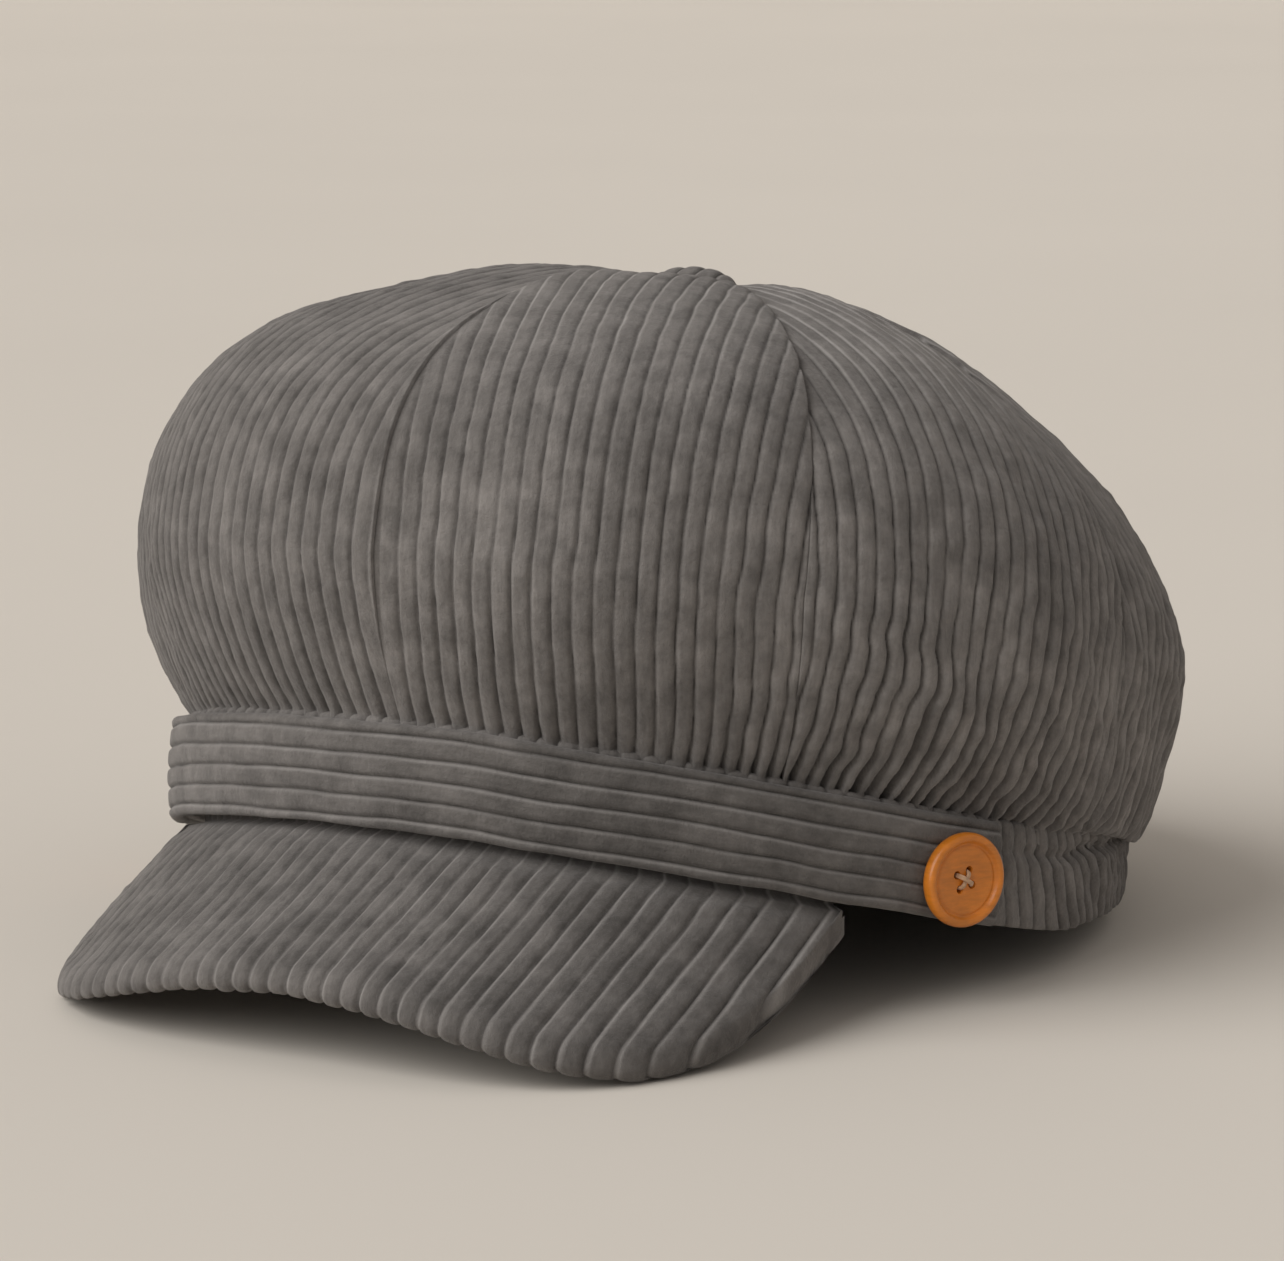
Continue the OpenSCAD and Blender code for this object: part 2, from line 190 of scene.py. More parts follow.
def grid_faces(rows, cols, wrap_rows=False, wrap_cols=False, flip=False):
    """Quads between neighbouring points of a grid."""
    r = np.arange(rows if wrap_rows else rows - 1)
    c = np.arange(cols if wrap_cols else cols - 1)
    i, j = np.meshgrid(r, c, indexing="ij")
    i2, j2 = (i + 1) % rows, (j + 1) % cols
    f = np.stack([i * cols + j, i * cols + j2, i2 * cols + j2, i2 * cols + j], -1).reshape(-1, 4)
    return f[:, ::-1] if flip else f


def grid_object(name, p, material, u, v, painted_shade=None, phase=None, shine=0.3, centre=MIDDLE, **wrap):
    """A sheet through a grid of level-frame points, facing away from centre."""
    rows, cols = p.shape[:2]
    n = normals(p)
    flip = ((p - centre) * n).sum() < 0
    faces = grid_faces(rows, cols, flip=bool(flip), **wrap)
    uv = np.stack([u * MM, v * MM], -1).reshape(-1, 2)
    attributes = {}
    # the first of these attributes is painted shade, in the grooves and gathers and on sides turned from the
    # light; shine is a painted highlight
    if painted_shade is not None:
        attributes = {"painted_shade": painted_shade, "phase": phase, "shine": edge_light(phase, shine)}
    return make_mesh(name, rest(p).reshape(-1, 3), faces, material, uv, attributes)


def finish_piece(obj, body, slot, *nodes):
    """Puts a piece on its body, in place of the CAD nodes named; the material slot argument is not used."""
    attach(obj, body)
    if nodes:
        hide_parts(*nodes)
    return obj


# ---- materials ------------------------------------------------------------------------
class Nodes:
    """Short way to write a node tree."""

    def __init__(self, name):
        self.material = bpy.data.materials.new(name)
        self.material.use_nodes = True
        self.tree = self.material.node_tree
        self.tree.nodes.clear()
        self.out = self.tree.nodes.new("ShaderNodeOutputMaterial")
        self.bsdf = self.tree.nodes.new("ShaderNodeBsdfPrincipled")
        self.tree.links.new(self.bsdf.outputs[0], self.out.inputs[0])

    def node(self, kind, inputs=None, **settings):
        n = self.tree.nodes.new("ShaderNode" + kind)
        for key, value in settings.items():
            setattr(n, key, value)
        for key, value in (inputs or {}).items():
            self.put(n.inputs[key], value)
        return n

    def put(self, socket, value):
        if isinstance(value, bpy.types.NodeSocket):
            self.tree.links.new(value, socket)
        else:
            socket.default_value = value

    def set(self, **values):
        for key, value in values.items():
            self.put(self.bsdf.inputs[key.replace("_", " ")], value)

    def math(self, operation, a, b=0.0, clamp=False):
        n = self.node("Math", {0: a, 1: b}, operation=operation, use_clamp=clamp)
        return n.outputs[0]

    def coords(self, kind, scale):
        c = self.node("TexCoord").outputs[kind]
        return self.node("Mapping", {"Vector": c, "Scale": scale}).outputs[0]

    def noise(self, vector, scale, detail=3.0, rough=0.55):
        n = self.node("TexNoise", {"Vector": vector, "Scale": scale, "Detail": detail,
                                   "Roughness": rough})
        return n.outputs["Fac"]

    def ramp(self, value, low, high, to_low, to_high):
        n = self.node("MapRange", {"Value": value, "From Min": low, "From Max": high,
                                   "To Min": to_low, "To Max": to_high})
        return n.outputs[0]

    def mix(self, factor, a, b):
        n = self.node("Mix", data_type="RGBA")
        self.put(n.inputs["Factor"], factor)
        self.put(n.inputs[6], a)
        self.put(n.inputs[7], b)
        return n.outputs[2]

    def shade(self, colour, factor):
        """A colour multiplied by a number."""
        n = self.node("VectorMath", operation="SCALE")
        self.put(n.inputs[0], colour)
        self.put(n.inputs["Scale"], factor)
        return n.outputs[0]

    def bump(self, height, distance, strength=1.0, normal=None):
        n = self.node("Bump", {"Height": height, "Distance": distance, "Strength": strength})
        if normal is not None:
            self.put(n.inputs["Normal"], normal)
        return n.outputs[0]


def corduroy(name, base, light):
    """Napped wales: mottled pile, painted shade in the narrow grooves and towards one side of
    each wale, and a painted highlight where the pile catches the light along its other edge."""
    m = Nodes(name)
    painted_shade = m.node("Attribute", attribute_name="painted_shade").outputs["Fac"]
    phase = m.node("Attribute", attribute_name="phase").outputs["Fac"]
    place = m.coords("Object", (1, 1, 1))
    mottle = m.ramp(m.noise(place, 150.0, 5.0, 0.66), 0.34, 0.66, 0.76, 1.24)
    patches = m.ramp(m.noise(place, 34.0, 4.0, 0.6), 0.35, 0.65, 0.86, 1.14)
    streaks = m.ramp(m.noise(m.coords("UV", (1500, 210, 1)), 1.0, 3.0), 0.3, 0.7, 0.90, 1.10)
    level = m.math("MULTIPLY", m.math("MULTIPLY", mottle, patches), streaks)
    # painted shade: each wale lighter on one side and darker on the other, as if lit from one side
    painted_side_shade = m.ramp(phase, -0.5, 0.5, 1.06, 0.93)
    colour = m.shade(base, m.math("MULTIPLY", level, painted_side_shade))
    # painted shade in the grooves and gathers and on sides turned from the light
    dark = m.math("SUBTRACT", 1.0, m.math("MULTIPLY", painted_shade, 0.42))
    colour = m.shade(colour, dark)
    edge = m.node("Attribute", attribute_name="shine").outputs["Fac"]
    where = m.ramp(m.noise(m.coords("UV", (120, 20, 1)), 1.0, 2.0), 0.34, 0.58, 0.30, 1.0)
    colour = m.mix(m.math("MULTIPLY", edge, where, True), colour, (*light, 1.0))
    fibres = m.noise(m.coords("UV", (7000, 2600, 1)), 1.0, 4.0, 0.7)
    nap = m.noise(place, 700.0, 4.0, 0.65)
    normal = m.bump(fibres, 0.00030, 0.8, m.bump(nap, 0.00055, 0.8))
    m.set(Base_Color=colour, Roughness=0.95, Normal=normal, Sheen_Weight=0.30, Sheen_Roughness=0.4)
    m.set(Sheen_Tint=(0.86, 0.83, 0.81, 1.0), Specular_IOR_Level=0.08)
    return m.material


def cloth(name, base, rough, sheen, weave, bump, vary=0.12, stretch=(1, 1, 1)):
    """A plain woven cloth: crossed threads in the bump, and a soft change of tone."""
    m = Nodes(name)
    uv = m.coords("Object", stretch)
    tone = m.ramp(m.noise(m.coords("Object", (1, 1, 1)), 60.0, 4.0), 0.3, 0.7, 1 - vary, 1 + vary)
    wave = {"Vector": uv, "Scale": weave, "Distortion": 0.6, "Detail": 1.0}
    warp = m.node("TexWave", wave).outputs["Fac"]
    weft = m.node("TexWave", wave, bands_direction="Z").outputs["Fac"]
    height = m.math("ADD", m.math("MULTIPLY", warp, weft), m.noise(uv, weave * 2.0, 2.0))
    m.set(Base_Color=m.shade(base, tone), Roughness=rough, Sheen_Weight=sheen)
    m.set(Normal=m.bump(height, bump), Specular_IOR_Level=0.3)
    return m.material


def ribbed(name, base, rough, ribs, bump):
    """Ribbon or elastic with ribs across it."""
    m = Nodes(name)
    uv = m.coords("UV", (1, 1, 1))
    wave = m.node("TexWave", {"Vector": uv, "Scale": ribs, "Distortion": 0.3, "Detail": 1.0})
    wave = wave.outputs["Fac"]
    fine = m.noise(m.coords("UV", (900, 4000, 1)), 1.0, 3.0)
    tone = m.ramp(m.noise(uv, 70.0, 3.0), 0.3, 0.7, 0.88, 1.12)
    # painted shade: the colour darkens in the hollows between the ribs, where the bump is low
    colour = m.shade(m.shade(base, tone), m.ramp(wave, 0.0, 1.0, 0.7, 1.05))
    m.set(Base_Color=colour, Roughness=rough, Sheen_Weight=0.25)
    m.set(Normal=m.bump(fine, 0.0001, 0.5, m.bump(wave, bump)), Specular_IOR_Level=0.3)
    return m.material


def button_wood(name):
    m = Nodes(name)
    place = m.coords("Object", (1, 1, 1))
    grain = m.noise(m.coords("Object", (260, 260, 1500)), 1.0, 5.0, 0.6)
    clouds = m.noise(place, 160.0, 3.0)
    stripes, spots = m.ramp(grain, 0.3, 0.7, 0.86, 1.14), m.ramp(clouds, 0.3, 0.7, 0.88, 1.12)
    m.set(Base_Color=m.shade((0.60, 0.185, 0.014), m.math("MULTIPLY", stripes, spots)))
    m.set(Roughness=m.ramp(grain, 0.3, 0.7, 0.33, 0.45))
    m.set(Coat_Weight=0.25, Coat_Roughness=0.25, Specular_IOR_Level=0.45)
    m.set(Normal=m.bump(m.noise(place, 1400.0, 3.0), 0.00006, 0.6))
    return m.material


def thread(name, base):
    m = Nodes(name)
    place = m.coords("Object", (1, 1, 1))
    tone = m.ramp(m.noise(place, 1500.0, 3.0), 0.3, 0.7, 0.75, 1.2)
    m.set(Base_Color=m.shade(base, tone), Roughness=0.8, Sheen_Weight=0.3, Specular_IOR_Level=0.2)
    m.set(Normal=m.bump(m.noise(place, 4200.0, 2.0), 0.00012, 0.9))
    return m.material


def metal(name):
    m = Nodes(name)
    scratches = m.noise(m.coords("Object", (300, 300, 4000)), 1.0, 3.0)
    m.set(Base_Color=(0.48, 0.48, 0.5, 1), Metallic=1.0)
    m.set(Roughness=m.ramp(scratches, 0.3, 0.7, 0.3, 0.5))
    m.set(Normal=m.bump(scratches, 0.00004, 0.5))
    return m.material


def board(name):
    m = Nodes(name)
    grain = m.noise(m.coords("Object", (1, 1, 1)), 900.0, 3.0)
    m.set(Base_Color=m.shade((0.86, 0.85, 0.80), m.ramp(grain, 0.3, 0.7, 0.94, 1.03)), Roughness=0.55)
    m.set(Normal=m.bump(grain, 0.00006, 0.6))
    return m.material


CORD = corduroy("corduroy", (0.170, 0.158, 0.149), (0.50, 0.475, 0.455))
LINING = cloth("lining_cloth", (0.045, 0.043, 0.042), 0.42, 0.15, 700.0, 0.00006, 0.15)
INTERLINING = cloth("interlining", (0.69, 0.66, 0.58), 0.9, 0.1, 500.0, 0.0001)
RIBBON = ribbed("sweatband_ribbon", (0.030, 0.028, 0.027), 0.75, 160.0, 0.00025)
ELASTIC = cloth("elastic", (0.78, 0.75, 0.70), 0.85, 0.2, 260.0, 0.0003)
LABEL = cloth("label_cloth", (0.84, 0.82, 0.77), 0.6, 0.2, 900.0, 0.00006, 0.04)
BOARD = board("peak_board")
WOOD = button_wood("side_button")
TAN_THREAD = thread("button_thread", (0.56, 0.36, 0.22))
GREY_THREAD = thread("grey_thread", (0.075, 0.068, 0.063))
METAL = metal("button_metal")


# ---- shape of the cap -----------------------------------------------------------------
def oval(t, off=0.0):
    """Point of the headband's oval, t radians round from the front towards the left."""
    return (HALF_WIDTH + off) * np.sin(t), -(HALF_LENGTH + off) * np.cos(t)


def arch(y):
    """How high the band's lower edge is arched up over the peak."""
    return ARCH_RISE * (np.maximum(0, -y) / HALF_LENGTH) ** ARCH_POWER


def crown_surface(t, s, off):
    """The crown at angle t and height share s, from 0 at the band to 2 at the middle."""
    low = np.minimum(s, 1) * math.pi / 2
    high = np.maximum(s - 1, 0) * math.acos(CENTRE_R / (HALF_WIDTH * BELLY))
    back = (1 - np.cos(t)) / 2
    n = SHOULDER_BACK + (SHOULDER_FRONT - SHOULDER_BACK) * (1 - back) ** 1.5
    widest = BELLY_H + BELLY_SWING * np.cos(t)
    ripple = (np.sin(GORES / 2 * t) ** 2 + SEAM_SOFT) ** 0.35 - SEAM_SOFT ** 0.35
    swell = PUFF * ripple * np.sin(low) * np.cos(high) ** 0.6
    d = off + swell
    lower = s < 1
    k = np.where(lower, 1 + (BELLY - 1) * np.sin(low) ** (1 - FULLNESS * back), BELLY * np.cos(high))
    sag = SLUMP * back * np.sin(2 * low)
    rise = (1 - np.cos(high) ** n) ** (1 / n)
    dent = DIMPLE * np.exp(-((k * HALF_WIDTH / DIMPLE_R) ** 2))
    base = BAND_H + SLIP + arch(oval(t)[1])
    z_low = base + (widest - base) * low / (math.pi / 2) - sag
    z = np.where(lower, z_low, widest + (CROWN_H - widest) * rise - dent)
    return np.stack([
        (HALF_WIDTH * k + d * np.cos(high)) * np.sin(t),
        -(HALF_LENGTH * k + d * np.cos(high)) * np.cos(t) + CROWN_BACK * np.where(lower, 0, rise),
        z + d * np.sin(high),
    ], -1)


def even_rows(t, rows, off):
    """The crown at the angles t, with rows spaced evenly along each column: points and the
    distance of each up from the band."""
    s = np.concatenate([np.linspace(0, 1, 160, endpoint=False), 1 + np.linspace(0, 1, 500) ** 1.6])
    dense = crown_surface(t[None, :], s[:, None], off)
    run = run_along(dense, 0)
    share = np.linspace(0, 1, rows)
    p = np.empty((rows, len(t), 3))
    for j in range(len(t)):
        for a in range(3):
            p[:, j, a] = np.interp(share * run[-1, j], run[:, j], dense[:, j, a])
    return p, share[:, None] * run[-1][None, :]


def wrap_angle(t):
    return (t + math.pi) % (2 * math.pi) - math.pi


def slack(t, v):
    """How far the crown sinks in, or stands out, where its rear left seam sags."""
    seam = hump(np.degrees(wrap_angle(t)), 132, 17)
    return seam * (5.4 * hump(v, 102, 17) - 4.4 * hump(v, 66, 14))


LEAN = 9.0  # how far the wales run aside by the time they reach the band
TUCK, TUCK_SIDE = 0.6, 4.4  # depth of the gathers in front, and what the sides add
TUCK_REACH, TUCK_REACH_SIDE = 4.0, 7.0
FOLD, CREASE = 1.3, 2.3
ROLL_IN, ROLL_DROP = 2.2, 14.0  # how the crown's rear rolls over the band
SEAM_VALLEY, FRONT_SEAM_FILL = 0.3, 0.9


def crown_cloth(u, v, degrees, rear, side, seed):
    """Wales and gathers of a gore. The cloth is fuller than the band, so near the band the
    wales crowd, slant and waver: (ridge height, painted shade in the grooves, phase, gathers,
    distance across the cloth)."""
    waver = (0.22 + 1.5 * side * hump(v, 14, 24)) * noise(u / 15, v / 8, seed + 3)
    waver += (0.12 + 0.75 * side * hump(v, 16, 26)) * noise(u / 7, v / 4, seed + 4)
    w = u * (1 + 0.10 * np.exp(-v / 16)) + LEAN * side * np.exp(-v / 24) + waver
    worked = side * hump(v, 0, 48)
    deep = 1 + 1.05 * worked + 0.25 * rear - 0.35 * step(v, 60, 105)
    ridge, painted_shade, phase = wales(w, v, seed, 1 + 1.3 * worked, deep)
    ridge = ridge * (1 - 0.45 * step(-degrees, 25, 60) * step(v, 70, 110))
    at = w / WALE - 0.5 + 0.12 * noise(w / 13, v / 30, seed + 5)
    number = np.round(at)
    tuck = np.clip(1 - np.abs(2 * (at - number)) * 1.5, 0, 1)
    depth = (TUCK + TUCK_SIDE * side) * (0.75 + 0.6 * noise(number * 3.3, 0.3, seed + 6))
    uneven = 1 + 0.6 * noise(number * 2.7, 0.8, seed + 9)
    tucks = -depth * tuck * np.exp(-v / (TUCK_REACH + TUCK_REACH_SIDE * side * uneven))
    return ridge, painted_shade, phase, tucks, w


def crown_folds(u, v, w, degrees, rear, side, number, seed):
    """Broad folds, creases and slack of a gore: how far it stands out."""
    folds = FOLD * noise(u / 34 + 0.4 * number, v / 42, seed + 7) * step(v, 4, 26)
    crease = 1 - np.abs(noise((w + 0.75 * v) / 21, (v - 0.5 * w) / 46, seed + 8)) * 3.2
    crease = np.clip(crease, 0, 1) * np.maximum(rear, 0.35 * side) * hump(v, 34, 34)
    right = step(-degrees, 20, 60)
    dip = slack(np.radians(degrees), v) + 0.7 * hump(v[-1:] - v, 0, 7)
    dip = dip + right * (0.5 * hump(v, 25, 20) - 1.3 * hump(v, 82, 18) + 1.6 * hump(v, 114, 13))
    return folds - CREASE * crease - dip


def crown_gore(number, node):
    """One corduroy panel: the smooth crown, pushed out and in by its cloth and folds."""
    span = 2 * math.pi / GORES
    cols, rows = 250, 200
    t = (number + 0.5 + np.linspace(-1, 1, cols) / 2) * span
    p, v = even_rows(t, rows, 0.0)
    n = outward(p, normals(p), MIDDLE)
    across = run_along(p, 1)
    half = across[:, -1:] / 2
    u = across - half
    degrees = np.degrees(wrap_angle(t))[None, :] + 0 * v
    rear = step(np.abs(degrees), 80, 130)
    side = step(degrees, 25, 75) * (1 - step(degrees, 150, 178))
    side = np.maximum(side, 0.6 * step(-degrees, 40, 90))
    seed = 100 + 10 * number
    ridge, painted_shade, phase, tucks, w = crown_cloth(u, v, degrees, rear, side, seed)

    # the seams dip a little, except the one in front, which lies on top of a wale
    seam = half - np.abs(u)
    front = hump(degrees, 0, 12)
    valley = -SEAM_VALLEY * hump(seam, 0, 1.0) * step(v, 0, 12) * (1 - front)
    valley += FRONT_SEAM_FILL * front * hump(seam, 0, 7.0) * step(v, 4, 20)
    at_seam = front * hump(seam, 0, 1.5)
    ridge = ridge * (1 - at_seam) + 0.85 * RIDGE * at_seam
    painted_shade = painted_shade * (1 - at_seam)

    ridge = ridge * (1 - 0.45 * hump(v[-1:] - v, 0, 14)) - 0.45 * RIDGE
    roll = step(np.abs(degrees), 68, 116) * hump(v, 9, 9)
    loose = crown_folds(u, v, w, degrees, rear, side, number, seed)
    p = p + n * (ridge + tucks + valley + loose - ROLL_IN * roll)[..., None]
    p[..., 2] -= ROLL_DROP * roll
    # painted shade: the gathers darkened where they tuck in, and the grooves low on the sides shaded less
    painted_shade = np.clip(painted_shade + 0.9 * np.clip(-tucks / 3, 0, 1), 0, 1.8)
    painted_shade = painted_shade - 0.5 * side * hump(v, 20, 22)
    shine = 0.10 + 0.45 * step(v, 66, 100)

    # turn both seam edges and the lower edge in, out of sight
    def widened(a, first=0, last=0):
        return np.concatenate([a[:, :1] + first, a, a[:, -1:] + last], 1)

    def lengthened(a, first=0):
        return np.concatenate([a[:1] + first, a], 0)

    p = lengthened(widened(p, -3.0 * n[:, :1], -3.0 * n[:, -1:]), np.array([0, 0, -2.5]))
    u, v, painted_shade, phase, shine = (lengthened(widened(a)) for a in (u, v, painted_shade, phase, shine))
    obj = grid_object("crown_" + node.removeprefix("panel_"), p, CORD, u, v, painted_shade, phase, shine)
    finish_piece(obj, "cap", "corduroy", node)


def lining_gore(number, node):
    """One panel of the lining, puckered along its seams."""
    span = 2 * math.pi / GORES
    cols, rows = 60, 90
    c = np.linspace(-1, 1, cols)
    t = (number + 0.5) * span + c * span / 2
    p, v = even_rows(t, rows, -LINING_IN - LINING_T / 2)
    n = outward(p, normals(p), MIDDLE)
    width = np.linalg.norm(p[:, -1] - p[:, 0], axis=1)[:, None]
    u = c[None, :] * width / 2
    seed = 300 + number
    edge = width / 2 - np.abs(u)
    pucker = 0.35 * noise(v / 5, number * 3.3, seed) * np.exp(-edge / 5)
    sag = 0.7 * noise(u / 22, v / 30, seed + 1)
    sag = sag - 0.5 * np.abs(noise(u / 9, v / 26, seed + 2)) * np.exp(-v / 22)
    ridge = 0.35 * hump(edge, 0, 0.8)
    push = np.minimum(0.3, pucker + sag - ridge - 0.4) - np.maximum(slack(t[None, :], v), 0)
    p = p + n * push[..., None]
    obj = grid_object("lining_piece_" + node.removeprefix("lining_"), p, LINING, u, v)
    finish_piece(obj, "cap", "lining_cloth", node)


# ---- headband, sweatband, labels --------------------------------------------------------
def ring(stations, t0, t1):
    """Angles evenly spaced by distance round the oval, and that distance."""
    dense = np.linspace(t0, t1, 6000)
    x, y = oval(dense)
    run = np.concatenate([[0], np.cumsum(np.hypot(np.diff(x), np.diff(y)))])
    at = np.linspace(0, run[-1], stations)
    return np.interp(at, run, dense), at


def section_points(t, out, z):
    """Points out from the headband's oval and z above its arched edge."""
    x, y = oval(t[:, None])
    nx, ny = np.sin(t) / HALF_WIDTH, -np.cos(t) / HALF_LENGTH
    size = np.hypot(nx, ny)
    nx, ny = (nx / size)[:, None], (ny / size)[:, None]
    return np.stack([x + nx * out, y + ny * out, z + arch(y + 0 * z)], -1)


def rounded_loop(out_face, in_face, low, high, face_pts, round_pts=9):
    """Closed outline of a strip seen end on, up the outside and down the inside: distance
    out, height, outward directions, and 1 on the outer face falling to 0 round the edges."""
    r = (out_face - in_face) / 2
    mid = (out_face + in_face) / 2
    a = np.linspace(-math.pi, 0, round_pts)
    bottom = np.stack([mid + r * np.cos(a), low + r + r * np.sin(a)], -1)
    rise = np.linspace(low + r, high - r, face_pts + 2)[1:-1]
    face = np.stack([np.full(face_pts, out_face), rise], -1)
    b = np.linspace(0, math.pi, round_pts)
    top = np.stack([mid + r * np.cos(b), high - r + r * np.sin(b)], -1)
    back = np.stack([np.full(6, in_face), np.linspace(high - r, low + r, 8)[1:-1]], -1)
    loop = np.concatenate([bottom, face, top, back])
    edges = step(a, -2.6, -0.6), 1 - step(b, 0.6, 2.6)
    cloth_side = np.concatenate([edges[0], np.ones(face_pts), edges[1], np.zeros(len(back))])
    nxt, prv = np.roll(loop, -1, 0), np.roll(loop, 1, 0)
    d = nxt - prv
    n = np.stack([d[:, 1], -d[:, 0]], -1)
    n /= np.maximum(np.linalg.norm(n, axis=1, keepdims=True), 1e-9)
    return loop[:, 0], loop[:, 1], n, cloth_side


def headband():
    """The band, neat behind the strap and creased where it is bare at the sides and back."""
    stations = 1320
    t, at = ring(stations + 1, -math.pi, math.pi)
    t, at = t[:-1], at[:-1]
    length = at[1] * stations
    count = round(length / WALE)
    out, z, n, face = rounded_loop(BAND_OUT, BAND_IN, 0.0, BAND_H - 0.2, 26)
    degrees = np.degrees(t)[:, None]
    side = step(np.abs(degrees), 66, 96)
    u = at[:, None] * (count * WALE / length) + 0 * z[None, :]
    u = u + side * (0.55 * (z[None, :] - BAND_H / 2) + 0.7 * noise(u / 9, z[None, :] / 6, 41))
    v = z[None, :] + 0 * u
    ridge, painted_shade, phase = wales(u, v, 40, 1 + side, 1 + 1.9 * side)
    crease = -1.8 * side * hump(v, 14.5 + 0.8 * noise(u / 12, 0.5, 43), 1.1)
    bulge = side * (0.9 * np.sin(np.clip(v / BAND_H, 0, 1) * math.pi) + 0.5 * noise(u / 18, v / 12, 44))
    push = (ridge - 0.35 * RIDGE + crease + bulge) * face[None, :]
    o = out[None, :] + n[None, :, 0] * push
    zz = z[None, :] + n[None, :, 1] * push * 0.8
    low = 1 - step(v, 0, 12)
    zz = zz + low * side * 0.5 * noise(u / 15, 0.7, 45)
    p = section_points(t, o, np.maximum(zz, BAND_EDGE))
    painted_shade = painted_shade * face[None, :]
    obj = grid_object("headband_cloth", p, CORD, u, v, painted_shade, phase, 0.1,
                      wrap_rows=True, wrap_cols=True)
    finish_piece(obj, "cap", "corduroy", "headband_cover")


def strap():
    """The folded strap, its wales lengthwise."""
    stations = 460
    t, at = ring(stations, math.radians(-STRAP_END - STRAP_TURN), math.radians(STRAP_END - STRAP_TURN))
    out, z, n, face = rounded_loop(STRAP_OUT, STRAP_IN, 0.0, STRAP_H, 74, 11)
    height = z[None, :] + 0 * at[:, None]
    along = at[:, None] + 0 * height
    wave = 0.30 * noise(along / 24, height / 9, 51) + 0.12 * noise(along / 6, height / 3, 52)
    x = (height - STRAP_RIB + wave) / STRAP_WALE
    k = np.floor(x)
    x = x - k - 0.5
    ridge = RIDGE * (1.1 - 1.15 * np.abs(2 * x) ** 5)
    beads = 0.14 * noise(k * 5.3, along / 5, 53) + 0.10 * noise(k * 3.1, along / 2.1, 54)
    ridge = ridge + (1 - 4 * x * x) * beads
    # painted shade in the grooves, and a painted shade over the strap growing from 45 degrees right of the front
    # to 20 degrees left of it, then on to the wearer's left end, turned away from the light
    painted_shade = np.abs(2 * x) ** 6 + 0.5 * step(np.degrees(t), -45, 20)[:, None]
    # the cloth swells between its stitched edges, most towards the wearer's right
    swell = 0.5 * np.sin(np.clip(height / STRAP_H, 0, 1) * math.pi)
    swell = swell + 0.35 * noise(along / 30, height / 14, 55)
    swell = swell + 1.1 * step(-np.degrees(t), 25, 58)[:, None]
    push = (ridge - 0.35 + swell) * face[None, :]
    end = np.minimum(at, at[-1] - at)
    pinch = np.sqrt(np.clip(1 - (1 - np.clip(end / 1.4, 0, 1)) ** 2, 0, 1))[:, None]
    mid_out = (STRAP_OUT + STRAP_IN) / 2
    o = mid_out + (out[None, :] + n[None, :, 0] * push - mid_out) * (0.12 + 0.88 * pinch)
    mid_z = STRAP_H / 2
    zz = mid_z + (height + n[None, :, 1] * push * 0.6 - mid_z) * (0.86 + 0.14 * pinch)
    zz = zz + 0.45 * noise(along / 38, 0.2, 56) * (height / STRAP_H)
    zz = zz + 0.2 * noise(along / 11, height / 30, 57)
    p = section_points(t, o, zz)
    caps = [p[:1].mean(1, keepdims=True) + 0 * p[:1], p, p[-1:].mean(1, keepdims=True) + 0 * p[-1:]]
    p = np.concatenate(caps, 0)

    def grown(a):
        return np.concatenate([a[:1], a, a[-1:]], 0)

    u, v, g, ph = (grown(a) for a in (height, along, painted_shade * face[None, :], -x))
    obj = grid_object("strap_cloth", p, CORD, u, v, g, ph, wrap_cols=True)
    finish_piece(obj, "cap", "corduroy", "front_strap")


def sweatband():
    """The ribbon inside the band, its free upper part easing in and out a little."""
    stations = 700
    t, at = ring(stations + 1, -math.pi, math.pi)
    t, at = t[:-1], at[:-1]
    out, z, *_ = rounded_loop(-SWEAT_IN, -SWEAT_IN - SWEAT_T, SWEAT_Z, SWEAT_Z + SWEAT_H, 14, 7)
    u = at[:, None] + 0 * z[None, :]
    v = z[None, :] + 0 * u
    ease = 0.35 * noise(u / 24, v / 14, 61) * step(v, 3, 20)
    p = section_points(t, out[None, :] + ease, v + 0.25 * noise(u / 30, 0.3, 62) * step(v, 12, 24))
    obj = grid_object("sweatband_ribbon", p, RIBBON, u, v, wrap_rows=True, wrap_cols=True)
    finish_piece(obj, "cap", "sweatband_ribbon", "sweatband")


def tube(points, radius, sides=8):
    """A thread along a line of points, narrowed at its ends: grid of points round it."""
    points = np.asarray(points, float)
    d = np.gradient(points, axis=0)
    d /= np.maximum(np.linalg.norm(d, axis=1, keepdims=True), 1e-9)
    up = np.array([0.0, 0.0, 1.0])
    if abs(d[0] @ up) > 0.9:
        up = np.array([1.0, 0.0, 0.0])
    a = np.cross(d, up)
    a /= np.maximum(np.linalg.norm(a, axis=1, keepdims=True), 1e-9)
    b = np.cross(d, a)
    turn = np.linspace(0, 2 * math.pi, sides, endpoint=False)
    share = np.linspace(-1, 1, len(points))
    r = radius * np.sqrt(np.clip(1 - np.abs(share) ** 8, 0.02, 1))
    return points[:, None] + r[:, None, None] * (
        np.cos(turn)[None, :, None] * a[:, None] + np.sin(turn)[None, :, None] * b[:, None]
    )


def many_tubes(name, lines, radius, material, in_rest=False):
    """One mesh of many threads, along lines in the level frame or, in_rest, in metres."""
    points, faces, start = [], [], 0
    for line in lines:
        g = tube(line, radius)
        rows, cols = g.shape[:2]
        points.append((g if in_rest else rest(g)).reshape(-1, 3))
        faces.append(grid_faces(rows, cols, wrap_cols=True) + start)
        start += rows * cols
    return make_mesh(name, np.concatenate(points), np.concatenate(faces), material)


